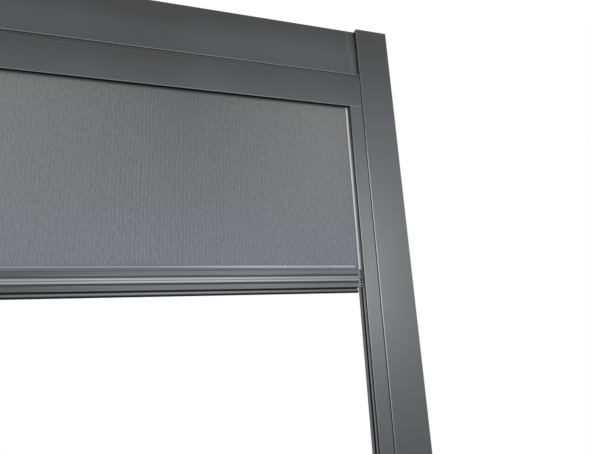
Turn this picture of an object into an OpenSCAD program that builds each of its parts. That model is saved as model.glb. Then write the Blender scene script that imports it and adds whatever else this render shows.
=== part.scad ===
// Motorised zip screen in one bay of an aluminium post and beam frame.
// Millimetres, +Z up, origin on the floor in the middle of the bay, front towards -Y.
// The right half is drawn at +X and mirrored for the left.

/* [Frame] */
// Clear width between the two guide rails
opening_w = 1100; // [800:10:3000]
// Side of the square posts
post_w = 120; // [100:1:150]
// Height of the posts without their caps
post_h = 2600; // [2200:10:3000]
// Wall of the posts
post_wall = 2.5; // [2:0.1:4]
// Outer corner radius of the posts
post_corner_r = 3; // [1:0.5:6]
// Thickness of the flat post cap
cap_t = 3; // [2:0.5:6]
// Depth of the plug under the post cap
cap_plug_h = 14; // [8:1:30]
// Side of the square floor plate
base_w = 190; // [170:1:260]
// Thickness of the floor plate
base_t = 8; // [5:0.5:15]
// Height of the socket that the post slides over
base_socket_h = 120; // [60:5:250]
// Wall of that socket
base_socket_wall = 5; // [3:0.5:8]
// Distance of the floor anchor holes from the plate's edge
anchor_edge = 17; // [12:0.5:20]
// Diameter of the floor anchor holes
anchor_d = 13; // [9:0.5:16]
// Height of the top beam
beam_h = 178; // [140:1:240]
// Depth of the top beam
beam_d = 100; // [80:1:110]
// Wall of the top beam
beam_wall = 2.5; // [2:0.1:4]
// How far the beam stands behind the face of the cassette
beam_setback = 9; // [0:0.5:20]
// Thickness of the plate that joins the beam to the post
connector_t = 6; // [4:0.5:10]
// Length of the connector's tongues inside the beam
connector_len = 70; // [40:1:120]
// Shank diameter of the connector bolts
connector_bolt_d = 8; // [6:0.5:10]

/* [Cassette] */
// Height of the cassette
cassette_h = 126; // [115:1:160]
// How far the cassette and the guide rails stand behind the post's face
face_setback = 4.5; // [0:0.5:15]
// Wall of the cassette profiles
cassette_wall = 2; // [1.5:0.1:2.5]
// Room behind the roll of fabric
cassette_rear_room = 7; // [4:0.5:20]
// Height of the rounded nose over the cover
nose_h = 4; // [3:0.5:6]
// Height of the set-back band along the top of the cover
cover_band_h = 11; // [6:0.5:16]
// Radius of the bead that the cover hangs by
hook_r = 2.2; // [1.8:0.1:2.6]
// Distance of that bead behind the face
hook_setback = 5; // [4.8:0.1:7]
// Room in the fabric slot before and behind the zip's funnels
slot_room = 0.5; // [0.5:0.5:3]
// Height of the stiffening lips along the slot
slot_lip_h = 10; // [6:0.5:16]
// Thickness of the cast end plates
end_plate_t = 4; // [3:0.5:8]
// Gap under the cover, over the guide rails
cover_gap = 0.8; // [0.5:0.1:2]

/* [Roller and motor] */
// Outer diameter of the roller tube
tube_d = 63; // [58:1:68]
// Wall of the roller tube
tube_wall = 1.5; // [1:0.1:2.5]
// Width of the key that runs inside the tube
key_w = 4; // [3:0.5:6]
// Height of that key
key_h = 3.5; // [2:0.5:5]
// Turns of fabric on the roller with the screen where the photo has it
roll_layers = 9; // [4:1:12]
// Diameter of the tubular motor
motor_d = 45; // [40:1:46]
// Wall of the motor's own tube
motor_wall = 1.2; // [0.8:0.1:2]
// Length of the motor head beside the roller
head_len = 20; // [16:1:30]
// Diameter of the motor head
head_d = 56; // [50:1:60]
// Length of the limit switch unit
limit_len = 42; // [30:1:80]
// Length of the capacitor
capacitor_len = 62; // [40:1:100]
// Length of the brake
brake_len = 32; // [20:1:60]
// Length of the stator
stator_len = 96; // [60:1:160]
// Length of the gearbox
gearbox_len = 170; // [100:1:240]
// Diameter of the rotor
rotor_d = 22; // [16:0.5:26]
// Diameter of the idler pin and the motor's output shaft
pin_d = 12; // [8:0.5:14]
// Outer diameter of the idler bearing
bearing_d = 28; // [24:1:34]
// Width of the idler bearing
bearing_w = 8; // [5:0.5:12]
// Thickness of the roller brackets
bracket_t = 5; // [4:0.5:8]
// Diameter of the limit buttons
button_d = 7; // [5:0.5:9]
// Travel of the limit buttons
button_travel = 2; // [1:0.5:3]

/* [Guide rails] */
// Width of the guide rails seen from the front
guide_w = 47; // [44:0.5:60]
// Depth of the guide rails
guide_d = 49.5; // [48:0.5:70]
// Wall of the guide rails
guide_wall = 2; // [1.5:0.1:2.5]
// Sealing strip between guide rail and post
gasket_t = 1; // [0.5:0.1:3]
// Depth of the guide cover's edge beside the opening
guide_cover_d = 3; // [2.5:0.5:4]
// Shadow gap between that edge and the guide rail
split_gap = 3.5; // [2:0.5:4.5]
// How far the guide cover's edge stands back from the opening
cover_step = 2.2; // [0:0.2:3]
// Middle of the rail's mouth, behind its front face: the plane of the fabric
fabric_setback = 24; // [23.5:0.5:25]
// Width of the rail's mouth
mouth_w = 12; // [11:0.5:14]
// Outer width of the plastic zip channel
insert_w = 23; // [22:0.5:24]
// Depth of the zip channel, from the mouth inwards
insert_d = 31; // [28:0.5:34]
// Wall of the zip channel
insert_wall = 1.6; // [1.2:0.1:2]
// Slot that the fabric runs through
zip_slot = 3; // [2.6:0.1:4]
// Length of the funnel that leads the zip into the channel
funnel_len = 40; // [25:1:60]
// Height of the plug that closes the rail at the bottom
foot_plug_h = 28; // [15:1:32]
// Thickness of the plate under the rail
foot_t = 3; // [2:0.5:6]

/* [Screen] */
// Distance from the cassette down to the top of the bottom bar
bar_drop = 561; // [60:1:1800]
// Thickness of the screen fabric
fabric_t = 0.6; // [0.4:0.05:0.9]
// Diameter of the zip's coil of teeth
zip_d = 4.6; // [4:0.1:5.5]
// How far the zip's tape shows beside the rail
tape_show = 4.5; // [2:0.5:5]
// Depth of the bottom bar
bar_d = 28; // [26:0.5:34]
// Height of the upper and lower bands of the bottom bar
bar_band_h = 13.3; // [10:0.1:18]
// Height of the two grooves in its face
bar_groove_h = 6; // [3:0.5:7]
// Height of the ridged strip between the grooves
bar_rib_h = 15.8; // [12:0.2:24]
// Wall of the bottom bar
bar_wall = 1.8; // [1.4:0.1:2.2]
// Gap from the end of the bottom bar to the guide rail
bar_end_gap = 15; // [12:0.5:20]
// Diameter of the hem over the bottom bar
hem_d = 10.5; // [8:0.5:14]
// Height of the hem's neck over the bottom bar
hem_neck_h = 6; // [4:0.5:10]
// How far the hem ends short of the bottom bar
hem_short = 4; // [1:1:40]
// Diameter of the rubber bulb under the bottom bar
seal_h = 12; // [8:0.5:16]
// Height of the dark neck over that bulb
seal_neck_h = 4.5; // [3:0.5:8]

/* [Hidden] */
$fn = 64;
cut = 1;
fit = 0.1;
slide_fit = 0.3;
shaft_fit = 0.05;

anthracite = [0.33, 0.34, 0.35];
graphite = [0.2, 0.2, 0.21];
black_plastic = [0.08, 0.08, 0.09];
zinc = [0.72, 0.73, 0.74];
steel = [0.6, 0.61, 0.62];
aluminium = [0.78, 0.79, 0.8];
copper = [0.72, 0.42, 0.25];
screen_grey = [0.44, 0.45, 0.47];
tape_grey = [0.68, 0.69, 0.68];
strip_grey = [0.58, 0.59, 0.6];

// Plan of the bay
anchor_spacing = base_w - 2 * anchor_edge;
guide_in_x = opening_w / 2;
guide_out_x = guide_in_x + guide_w;
post_in_x = guide_out_x + gasket_t;
post_x = post_in_x + post_w / 2;
face_y = -post_w / 2 + face_setback;
fabric_y = face_y + fabric_setback;
beam_y = face_y + beam_setback;

// Levels
beam_z = post_h - beam_h;
cassette_z = beam_z - cassette_h;
foot_z = base_t;
guide_z = foot_z + foot_t;
bar_z = cassette_z - bar_drop;

// Roll and cassette
roll_gap = slide_fit;
roll_r = tube_d / 2 + roll_layers * fabric_t;
roll_v = fabric_setback + fabric_t / 2 + roll_gap + roll_r;
roll_y = face_y + roll_v;
roll_z = cassette_z + cassette_h / 2 - 1;
cassette_d = roll_v + roll_r + cassette_rear_room + cassette_wall;
cassette_r = 2;
slot_front = fabric_setback - insert_w / 2 - slot_room;
slot_rear = fabric_setback + insert_w / 2 + slot_room;
hook_w = cassette_h - nose_h - hook_r;
hook_in_r = hook_r + slide_fit;
hook_out_r = hook_in_r + 1.7;
band_t = 2;
band_foot = hook_w - hook_r - cover_band_h;
strip_t = 1;
strip_v0 = cassette_wall;
strip_v1 = slot_front - 0.5;
port_d = 4.2;
port_wall = 1.8;
port_r = port_d / 2 + port_wall;

// Along the roller: the idler is at -X and the motor at +X
end_out_x = post_in_x - gasket_t;
end_in_x = end_out_x - end_plate_t;
run_gap = 2;
bearing_x = -end_in_x + bracket_t;
plug_x = bearing_x + bearing_w + run_gap;
flange_t = 3;
tube_x0 = plug_x + flange_t;
head_x1 = end_in_x - bracket_t;
head_x0 = head_x1 - head_len;
crown_flange_t = 1.5;
tube_x1 = head_x0 - cut - crown_flange_t;
tube_r = tube_d / 2;
tube_in_r = tube_r - tube_wall;
crown_len = 18;
neck_x0 = tube_x1 - crown_len - cut;
neck_r = motor_d / 2 - 2.5;
motor_in_r = motor_d / 2 - motor_wall;
core_r = motor_in_r - fit;
head_plug = 15;
limit_x1 = neck_x0 - head_plug;
limit_x0 = limit_x1 - limit_len;
capacitor_x0 = limit_x0 - capacitor_len;
brake_x0 = capacitor_x0 - brake_len;
stator_x0 = brake_x0 - stator_len;
gearbox_x0 = stator_x0 - gearbox_len;
gearbox_flange = 4;
motor_x0 = gearbox_x0;
rotor_shaft_d = 8;
rotor_bearing_len = 12;
air_gap = 0.4;
wheel_len = 22;
wheel_gap = 3;
wheel_x1 = gearbox_x0 - gearbox_flange - wheel_gap;
wheel_x0 = wheel_x1 - wheel_len;
clip_t = 1.6;
clip_groove = 1.2;
shaft_x0 = wheel_x0 - clip_t - 4;
shaft_in = 30;

// Guide rail, drawn from the post side inwards (u) and from the face backwards (v)
guide_split = guide_cover_d + split_gap;
mouth_v = fabric_setback - mouth_w / 2;
lip_u = guide_w - guide_wall;
insert_u1 = lip_u;
insert_u0 = insert_u1 - insert_d;
insert_recess = 4.5;
slot_wall_u = insert_u1 - insert_recess;
zip_play = 1.6;
zip_u = slot_wall_u - insert_wall - zip_d / 2 - zip_play;
zip_x = guide_out_x - zip_u;
fabric_half = zip_x - zip_d / 2 - slide_fit;
tape_t = 0.7;
guide_screw_d = 4.2;
guide_screw_v = guide_d - guide_wall - 6;
guide_screw_count = 5;
guide_screw_end = 150;
guide_screw_step = (cassette_z - guide_z - 2 * guide_screw_end) / (guide_screw_count - 1);

// Bottom bar, drawn from its top downwards
bar_half = guide_in_x - bar_end_gap;
bar_groove_in = 4;
bar_h = 2 * bar_band_h + 2 * bar_groove_h + bar_rib_h;
bar_r = 1.5;
rib_proud = 0.6;
rib_top = -bar_band_h - bar_groove_h;
rib_mid = rib_top - bar_rib_h / 2;
stem_h = 3;
stem_foot_h = 6;
stem_foot_t = 1.2;
stem_web = 1.2;
keder_d = 7;
keder_neck = 3;
keder_deep = 7;
seal_neck = 4;
seal_foot = 8;
seal_foot_h = 2.4;
cap_flange_t = 4;
strip_seat = bar_d / 2 - bar_groove_in;
cavity_y = 2 * (strip_seat - bar_wall - stem_foot_t - 2 * fit - stem_web);
weight_play = 0.6;
weight_w = cavity_y - 2 * weight_play;
cavity_top = keder_deep + keder_d / 2 + bar_wall;
cavity_bottom = bar_h - seal_foot_h - 2 * bar_wall;
tongue_play = 2;
tongue_w = mouth_w - tongue_play;

// Length of beam and pitch of its bolts
beam_half = post_in_x - slide_fit;
connector_h = beam_h - 2 * beam_wall - 2 * slide_fit;
connector_d = beam_d - 2 * beam_wall - 2 * slide_fit;
bolt_edge_y = 18;
bolt_edge_z = 30;
bolt_pitch_y = connector_d - 2 * bolt_edge_y;
bolt_pitch_z = connector_h - 2 * bolt_edge_z;
web_back = connector_len + cut;
socket_w = post_w - 2 * post_wall - 2 * slide_fit;

// Helpers

module rounded_rect(x0, y0, x1, y1, r) {
    translate([x0 + r, y0]) square([x1 - x0 - 2 * r, y1 - y0]);
    translate([x0, y0 + r]) square([x1 - x0, y1 - y0 - 2 * r]);
    for (x = [x0 + r, x1 - r], y = [y0 + r, y1 - r]) translate([x, y]) circle(r);
}

module rect(x0, y0, x1, y1) {
    translate([x0, y0]) square([x1 - x0, y1 - y0]);
}

// A (Y, Z) outline, drawn out from x0 to x1
module along_x(x0, x1) {
    translate([x0, 0, 0]) rotate([90, 0, 90]) linear_extrude(x1 - x0) children();
}

module along_z(z0, z1) {
    translate([0, 0, z0]) linear_extrude(z1 - z0) children();
}

module rod_x(x0, x1, r) {
    translate([x0, 0, 0]) rotate([0, 90, 0]) cylinder(h = x1 - x0, r = r);
}

module ring_x(x0, x1, r, bore_r) {
    difference() {
        rod_x(x0, x1, r);
        rod_x(x0 - cut, x1 + cut, bore_r);
    }
}

module on_roller() {
    translate([0, roll_y, roll_z]) children();
}

module both_sides() {
    children();
    mirror([1, 0, 0]) children();
}

// Screw along +X with its head's seat at x = 0
module screw_x(shank_d, shank_len, head_screw_d, head_h) {
    rod_x(0, shank_len, shank_d / 2);
    rod_x(-head_h, 0, head_screw_d / 2);
}

module hex_bolt_x(shank_d, shank_len, across, head_h) {
    rod_x(0, shank_len, shank_d / 2);
    translate([-head_h, 0, 0]) rotate([0, 90, 0]) cylinder(h = head_h, d = across, $fn = 6);
}

// Places of fasteners

module at_guide_screws() {
    for (i = [0 : guide_screw_count - 1])
        translate([0, face_y + guide_screw_v, guide_z + guide_screw_end + i * guide_screw_step]) children();
}

module at_connector_bolts() {
    for (y = [-1, 1] * bolt_pitch_y / 2, z = [-1, 1] * bolt_pitch_z / 2)
        translate([0, beam_y + beam_d / 2 + y, beam_z + beam_h / 2 + z]) children();
}

end_ports = [
    [cassette_d - cassette_wall - port_r + 0.4, cassette_h - cassette_wall - port_r + 0.4],
    [cassette_d - cassette_wall - port_r + 0.4, cassette_wall + port_r - 0.4],
    [slot_rear + port_r, cassette_wall + port_r - 0.4]
];
module at_end_ports() {
    for (p = end_ports) translate([0, face_y + p[0], cassette_z + p[1]]) children();
}

bracket_screw_d = 5;
bracket_head_d = 9;
bracket_edge = 6;
bracket_pitch = head_d - bracket_edge;
bracket_w = bracket_pitch + 2 * bracket_edge;
module at_bracket_screws() {
    for (y = [-1, 1] * bracket_pitch / 2, z = [-1, 1] * bracket_pitch / 2)
        translate([0, roll_y + y, roll_z + z]) children();
}

cassette_screw_d = 4.2;
cassette_screw_x = [-0.8, -0.3, 0.3, 0.8] * guide_in_x;
cassette_screw_y = beam_y + beam_d / 2;
module at_cassette_screws() {
    for (x = cassette_screw_x) translate([x, cassette_screw_y, beam_z]) children();
}

base_screw_d = 6;
base_screw_pitch = 60;
base_screw_z = base_t + base_socket_h / 2;
module at_base_screws() {
    for (x = [-1, 1] * base_screw_pitch / 2) translate([post_x + x, post_w / 2, base_screw_z]) children();
}

grommet_d = 14;
grommet_lip = 2;
grommet_v = roll_v + bracket_pitch / 2;
grommet_w = roll_z - cassette_z - bracket_w / 2 - grommet_d / 2 - grommet_lip - cut;
module at_grommet() {
    translate([0, face_y + grommet_v, cassette_z + grommet_w]) children();
}

// Posts, beam and floor plates

module post(has_cable_hole) {
    difference() {
        translate([post_x, 0, 0]) along_z(base_t, post_h) difference() {
            rounded_rect(-post_w / 2, -post_w / 2, post_w / 2, post_w / 2, post_corner_r);
            square(post_w - 2 * post_wall, center = true);
        }
        at_guide_screws() rod_x(post_in_x - cut, post_in_x + post_wall + cut, guide_screw_d / 2 + shaft_fit);
        at_connector_bolts()
            rod_x(post_in_x - cut, post_in_x + post_wall + cut, connector_bolt_d / 2 + fit);
        at_base_screws() rotate([90, 0, 0]) cylinder(h = 2 * post_wall + cut, d = base_screw_d + 2 * fit, center = true);
        if (has_cable_hole) at_grommet() rod_x(post_in_x - cut, post_in_x + post_wall + cut, grommet_d / 2);
    }
}

module left_post() { color(anthracite) mirror([1, 0, 0]) post(false); }
module right_post() { color(anthracite) post(true); }

// Flat cap with a square plug that drops into the post
module post_caps() {
    plug_w = post_w - 2 * post_wall - 2 * slide_fit;
    color(anthracite) both_sides() translate([post_x, 0, post_h]) {
        along_z(0, cap_t) rounded_rect(-post_w / 2, -post_w / 2, post_w / 2, post_w / 2, post_corner_r);
        along_z(-cap_plug_h, 0) difference() {
            square(plug_w, center = true);
            square(plug_w - 2 * cap_t, center = true);
        }
    }
}

// Floor plate with a square socket welded on, which the post slides over
module post_bases() {
    plate_r = 6;
    color(zinc) both_sides() difference() {
        translate([post_x, 0, 0]) difference() {
            union() {
                along_z(0, base_t) rounded_rect(-base_w / 2, -base_w / 2, base_w / 2, base_w / 2, plate_r);
                along_z(base_t, base_t + base_socket_h) square(socket_w, center = true);
            }
            along_z(base_t, base_t + base_socket_h + cut)
                square(socket_w - 2 * base_socket_wall, center = true);
            for (x = [-1, 1] * anchor_spacing / 2, y = [-1, 1] * anchor_spacing / 2)
                translate([x, y, -cut]) cylinder(h = base_t + 2 * cut, d = anchor_d);
        }
        at_base_screws() rotate([90, 0, 0])
            cylinder(h = 2 * (post_wall + base_socket_wall) + cut, d = base_screw_d + 2 * fit, center = true);
    }
}

module base_screws() {
    color(zinc) both_sides() at_base_screws() rotate([0, 0, -90])
        screw_x(base_screw_d, post_wall + base_socket_wall + 4, 11, 3);
}

// Box beam with one web across its middle, cut back at the ends for the connectors
module top_beam() {
    inner_y0 = beam_y + beam_wall;
    inner_y1 = beam_y + beam_d - beam_wall;
    cell_h = (beam_h - 3 * beam_wall) / 2;
    color(anthracite) difference() {
        along_x(-beam_half, beam_half)
            rounded_rect(beam_y, beam_z, beam_y + beam_d, beam_z + beam_h, 2);
        along_x(-beam_half - cut, beam_half + cut)
            for (z = [beam_z + beam_wall, beam_z + 2 * beam_wall + cell_h])
                rect(inner_y0, z, inner_y1, z + cell_h);
        for (x = [-beam_half, beam_half - web_back]) along_x(x - cut, x + web_back + cut)
            rect(inner_y0, beam_z + beam_wall, inner_y1, beam_z + beam_h - beam_wall);
        at_cassette_screws()
            translate([0, 0, -cut]) cylinder(h = beam_wall + 2 * cut, d = cassette_screw_d + 2 * shaft_fit);
    }
}

// Plate bolted to the post, with two tongues that carry the beam from inside
module beam_connectors() {
    y0 = beam_y + beam_wall + slide_fit;
    z0 = beam_z + beam_wall + slide_fit;
    tongue_t = connector_t;
    color(zinc) both_sides() difference() {
        union() {
            along_x(post_in_x - connector_t, post_in_x)
                rect(y0, z0, y0 + connector_d, z0 + connector_h);
            along_x(post_in_x - connector_len, post_in_x - connector_t) {
                rect(y0, z0, y0 + connector_d, z0 + tongue_t);
                rect(y0, z0 + connector_h - tongue_t, y0 + connector_d, z0 + connector_h);
            }
        }
        at_connector_bolts()
            rod_x(post_in_x - connector_t - cut, post_in_x + cut, connector_bolt_d / 2 + fit);
    }
}

module connector_bolts() {
    color(zinc) both_sides() at_connector_bolts() translate([post_in_x - connector_t, 0, 0])
        hex_bolt_x(connector_bolt_d, connector_t + post_wall + 8, 1.7 * connector_bolt_d, 0.65 * connector_bolt_d);
}

// Cassette profiles, in (v, w): back from the face and up from the cassette's underside

module in_cassette() {
    translate([face_y, cassette_z]) children();
}

// What the hook's socket leaves open, so that the cover can swing out
module hook_mouth() {
    far = 3 * hook_out_r;
    polygon([
        [0, 0],
        far * [cos(160), sin(160)],
        far * [-1, -1],
        far * [cos(305), sin(305)]
    ]);
}

module cassette_back_profile() {
    difference() {
        intersection() {
            rounded_rect(0, 0, cassette_d, cassette_h, cassette_r);
            union() {
                rect(0, cassette_h - nose_h, hook_setback + 1, cassette_h);
                rect(hook_setback, cassette_h - cassette_wall, cassette_d, cassette_h);
                rect(cassette_d - cassette_wall, 0, cassette_d, cassette_h);
                rect(slot_rear, 0, cassette_d, cassette_wall);
                rect(slot_rear, 0, slot_rear + cassette_wall, slot_lip_h);
                for (p = end_ports) translate(p) circle(port_r);
                translate([hook_setback, hook_w]) difference() {
                    circle(hook_out_r);
                    hook_mouth();
                }
            }
        }
        translate([hook_setback, hook_w]) circle(hook_in_r);
        for (p = end_ports) translate(p) circle(port_d / 2);
    }
}

module cassette_back() {
    color(anthracite) difference() {
        along_x(-end_in_x, end_in_x) in_cassette() cassette_back_profile();
        at_cassette_screws() translate([0, 0, -cassette_wall - cut])
            cylinder(h = cassette_wall + 2 * cut, d = cassette_screw_d + 2 * fit);
    }
}

// Bead, set-back band, face, bottom return with a recess for its strip, and lip, in one extrusion
module front_cover_profile() {
    translate([hook_setback, hook_w]) circle(hook_r);
    rect(hook_setback - band_t / 2, band_foot - cassette_wall, hook_setback + band_t / 2, hook_w);
    difference() {
        rounded_rect(0, cover_gap, slot_front, band_foot, 1.5);
        rect(cassette_wall, cover_gap + cassette_wall, slot_front + cut, band_foot - cassette_wall);
        rect(hook_setback, band_foot - 2 * cassette_wall, slot_front + cut, band_foot + cut);
        rect(strip_v0 - shaft_fit, 0, strip_v1 + shaft_fit, cover_gap + strip_t);
    }
    rect(slot_front - cassette_wall, cover_gap + strip_t, slot_front, slot_lip_h);
}

module front_cover() {
    color(anthracite) along_x(-end_in_x + slide_fit, end_in_x - slide_fit)
        in_cassette() front_cover_profile();
}

// Soft black strip under the cover, which keeps the fabric from rubbing on metal
module slot_strip() {
    color(black_plastic) along_x(-end_in_x + slide_fit, end_in_x - slide_fit)
        in_cassette() rect(strip_v0, cover_gap, strip_v1, cover_gap + strip_t);
}

end_screw_head = 7.6;
end_screw_sink = 2;

module end_plate() {
    edge_r = 1.2;
    difference() {
        intersection() {
            along_x(end_in_x, end_out_x) in_cassette() rounded_rect(0, 0, cassette_d, cassette_h, cassette_r);
            along_z(cassette_z - cut, beam_z + cut)
                rounded_rect(end_in_x, face_y, end_out_x, face_y + cassette_d, edge_r);
        }
        at_end_ports() {
            rod_x(end_in_x - cut, end_out_x + cut, port_d / 2);
            translate([end_out_x - end_screw_sink, 0, 0]) rotate([0, 90, 0])
                cylinder(h = end_screw_sink, d1 = port_d, d2 = end_screw_head);
        }
        at_bracket_screws() rod_x(end_in_x - cut, end_out_x + cut, bracket_screw_d / 2 + shaft_fit);
    }
}

module left_end_plate() { color(graphite) mirror([1, 0, 0]) end_plate(); }

module right_end_plate() {
    color(graphite) difference() {
        end_plate();
        at_grommet() rod_x(end_in_x - cut, end_out_x + cut, grommet_d / 2);
    }
}

// Countersunk, flush with the plate's outer face
module end_plate_screws() {
    shank_len = 25;
    shank_r = port_d / 2 - shaft_fit;
    color(steel) both_sides() at_end_ports() {
        rod_x(end_out_x - shank_len, end_out_x - end_screw_sink, shank_r);
        translate([end_out_x - end_screw_sink, 0, 0]) rotate([0, 90, 0])
            cylinder(h = end_screw_sink, r1 = shank_r, d2 = end_screw_head - 2 * shaft_fit);
    }
}

module cassette_screws() {
    color(steel) at_cassette_screws() {
        translate([0, 0, -cassette_wall]) cylinder(h = cassette_wall + beam_wall + 6, d = cassette_screw_d);
        translate([0, 0, -cassette_wall - 2.5]) cylinder(h = 2.5, d = 2 * cassette_screw_d);
    }
}

// Brush along the rear edge of the slot, in an aluminium holder
module slot_brush() {
    holder_w = cassette_wall + 1;
    holder_h = 4;
    holder_t = 3;
    bristle_t = 2;
    bristle_gap = 3;
    bristle_v = fabric_setback + fabric_t / 2 + bristle_gap;
    color(black_plastic) along_x(-guide_in_x, guide_in_x) in_cassette() {
        rect(slot_rear - holder_t, holder_w, slot_rear, holder_w + holder_h);
        rect(bristle_v, holder_w + 1, slot_rear - holder_t, holder_w + 1 + bristle_t);
    }
}

module cable_grommet() {
    lip_t = 1.5;
    color(black_plastic) at_grommet() difference() {
        union() {
            rod_x(end_in_x, end_out_x, grommet_d / 2 - shaft_fit);
            rod_x(end_in_x - lip_t, end_in_x, grommet_d / 2 + grommet_lip);
        }
        rod_x(end_in_x - lip_t - cut, end_out_x + cut, grommet_d / 2 - 3);
    }
}

// Roller

// Space that the tube's inner key takes from whatever sits in the tube
module key_slot(x0, x1) {
    along_x(x0 - cut, x1 + cut)
        rect(-key_w / 2 - fit, -tube_r - cut, key_w / 2 + fit, -tube_in_r + key_h + fit);
}

module roller_tube() {
    color(aluminium) on_roller() {
        ring_x(tube_x0, tube_x1, tube_r, tube_in_r);
        along_x(tube_x0, tube_x1) difference() {
            rect(-key_w / 2, -tube_r + tube_wall / 2, key_w / 2, -tube_in_r + key_h);
            difference() {
                circle(2 * tube_r);
                circle(tube_r - tube_wall / 2);
            }
        }
    }
}

module fabric_roll() {
    color(screen_grey) on_roller() ring_x(-fabric_half, fabric_half, roll_r, tube_r + shaft_fit);
}

// Ribbed plug in the idler end of the tube, with a flange against the tube's end
module idler_plug() {
    plug_len = 40;
    hub_r = pin_d / 2 + 5;
    rim = 3;
    web_count = 6;
    color(black_plastic) on_roller() difference() {
        union() {
            rod_x(plug_x, tube_x0, tube_r);
            ring_x(tube_x0, tube_x0 + plug_len, tube_in_r - fit, tube_in_r - fit - rim);
            rod_x(tube_x0, tube_x0 + plug_len, hub_r);
            for (i = [0 : web_count - 1]) rotate([360 / web_count * (i + 0.5), 0, 0])
                along_x(tube_x0, tube_x0 + plug_len) rect(-1, hub_r - 1, 1, tube_in_r - fit - rim / 2);
            along_x(tube_x0, tube_x0 + plug_len)
                rect(-key_w, -tube_in_r + rim / 2, key_w, -tube_in_r + key_h + rim);
        }
        key_slot(tube_x0 + cut, tube_x0 + plug_len);
        rod_x(plug_x - cut, tube_x0 + plug_len + cut, pin_d / 2 + shaft_fit);
    }
}

module idler_pin() {
    pin_len = 48;
    color(steel) on_roller() rod_x(bearing_x + 0.5, bearing_x + pin_len, pin_d / 2);
}

module idler_bearing() {
    shield_in = 0.6;
    color(steel) on_roller() difference() {
        ring_x(bearing_x, bearing_x + bearing_w, bearing_d / 2, pin_d / 2 + shaft_fit);
        ring_x(bearing_x + bearing_w - shield_in, bearing_x + bearing_w + cut,
            bearing_d / 2 - 2.2, pin_d / 2 + 2.2);
    }
}

module bracket_plate(x0, x1) {
    along_x(x0, x1)
        rounded_rect(-bracket_w / 2, -bracket_w / 2, bracket_w / 2, bracket_w / 2, 6);
}

module idler_bracket() {
    boss_r = bearing_d / 2 + 4;
    color(graphite) difference() {
        on_roller() difference() {
            union() {
                bracket_plate(-end_in_x, bearing_x);
                rod_x(bearing_x, bearing_x + bearing_w, boss_r);
            }
            rod_x(bearing_x, bearing_x + bearing_w + cut, bearing_d / 2 + shaft_fit);
        }
        at_bracket_screws() rod_x(-end_in_x - cut, bearing_x + cut, bracket_screw_d / 2 + fit);
    }
}

spigot_d = 20;

module motor_bracket() {
    color(graphite) difference() {
        on_roller() difference() {
            bracket_plate(head_x1, end_in_x);
            rod_x(head_x1 - cut, end_in_x + cut, spigot_d / 2 + fit);
        }
        at_bracket_screws() rod_x(head_x1 - cut, end_in_x + cut, bracket_screw_d / 2 + fit);
    }
}

module bracket_screws() {
    head_h = 3;
    color(zinc) at_bracket_screws() {
        translate([head_x1, 0, 0]) screw_x(bracket_screw_d, bracket_t + end_plate_t, bracket_head_d, head_h);
        mirror([1, 0, 0]) translate([head_x1, 0, 0])
            screw_x(bracket_screw_d, bracket_t + end_plate_t, bracket_head_d, head_h);
    }
}

// Motor

button_pitch = button_d + 3;
button_x = (head_x0 + head_x1) / 2;
button_flat = head_d / 2 - 3.5;
button_deep = 8;
button_proud = 3;
module at_button(side) {
    translate([button_x, roll_y, roll_z + side * button_pitch / 2]) children();
}

// Head with its spigot, the neck that the crown turns on, and a flat for the limit buttons
module motor_head() {
    inlet_d = 9;
    inlet_deep = 12;
    color(black_plastic) difference() {
        on_roller() difference() {
            union() {
                rod_x(head_x0, head_x1, head_d / 2);
                rod_x(head_x1, end_in_x - 0.5, spigot_d / 2);
                rod_x(neck_x0, head_x0, neck_r);
                rod_x(limit_x1, neck_x0, core_r);
            }
            translate([head_x0 + 3, -head_d, -button_pitch - 4])
                cube([head_len - 6, head_d - button_flat, 2 * button_pitch + 8]);
            translate([button_x, 0, -head_d / 2 - cut]) cylinder(h = inlet_deep + cut, d = inlet_d);
        }
        for (side = [-1, 1]) at_button(side) rotate([90, 0, 0])
            translate([0, 0, button_flat - button_deep]) cylinder(h = button_deep + cut, d = button_d + 2 * fit);
    }
}

module motor_tube() {
    color(zinc) on_roller() ring_x(motor_x0, neck_x0, motor_d / 2, motor_in_r);
}

// Carrier with the two cam windows of the limit switches
module limit_unit() {
    window = 9;
    color([0.85, 0.84, 0.78]) on_roller() difference() {
        rod_x(limit_x0, limit_x1, core_r);
        for (x = [limit_x0 + limit_len / 4, limit_x0 + 0.65 * limit_len])
            translate([x, -window / 2, core_r - 8]) cube([window, window, 10]);
    }
}

// Round can held between two centring collars
module capacitor() {
    collar_t = 4;
    can_r = core_r - 6;
    color([0.8, 0.8, 0.82]) on_roller() {
        rod_x(capacitor_x0, limit_x0, can_r);
        rod_x(capacitor_x0, capacitor_x0 + collar_t, core_r);
        rod_x(limit_x0 - collar_t, limit_x0, core_r);
    }
}

module motor_brake() {
    groove_t = 2;
    color(graphite) on_roller() difference() {
        rod_x(brake_x0, capacitor_x0, core_r);
        rod_x(brake_x0 - cut, brake_x0 + rotor_bearing_len, rotor_shaft_d / 2 + shaft_fit);
        for (i = [1 : 3]) translate([brake_x0 + i * brake_len / 4, 0, 0])
            ring_x(0, groove_t, core_r + cut, core_r - 2);
    }
}

// Laminated ring with its winding slots
module motor_stator() {
    slot_count = 12;
    slot_w = 3;
    slot_deep = 5;
    bore_r = rotor_d / 2 + air_gap;
    color(copper) on_roller() difference() {
        ring_x(stator_x0, brake_x0, core_r, bore_r);
        for (i = [0 : slot_count - 1]) rotate([360 / slot_count * i, 0, 0])
            along_x(stator_x0 - cut, brake_x0 + cut) rect(-slot_w / 2, bore_r - cut, slot_w / 2, bore_r + slot_deep);
    }
}

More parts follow.
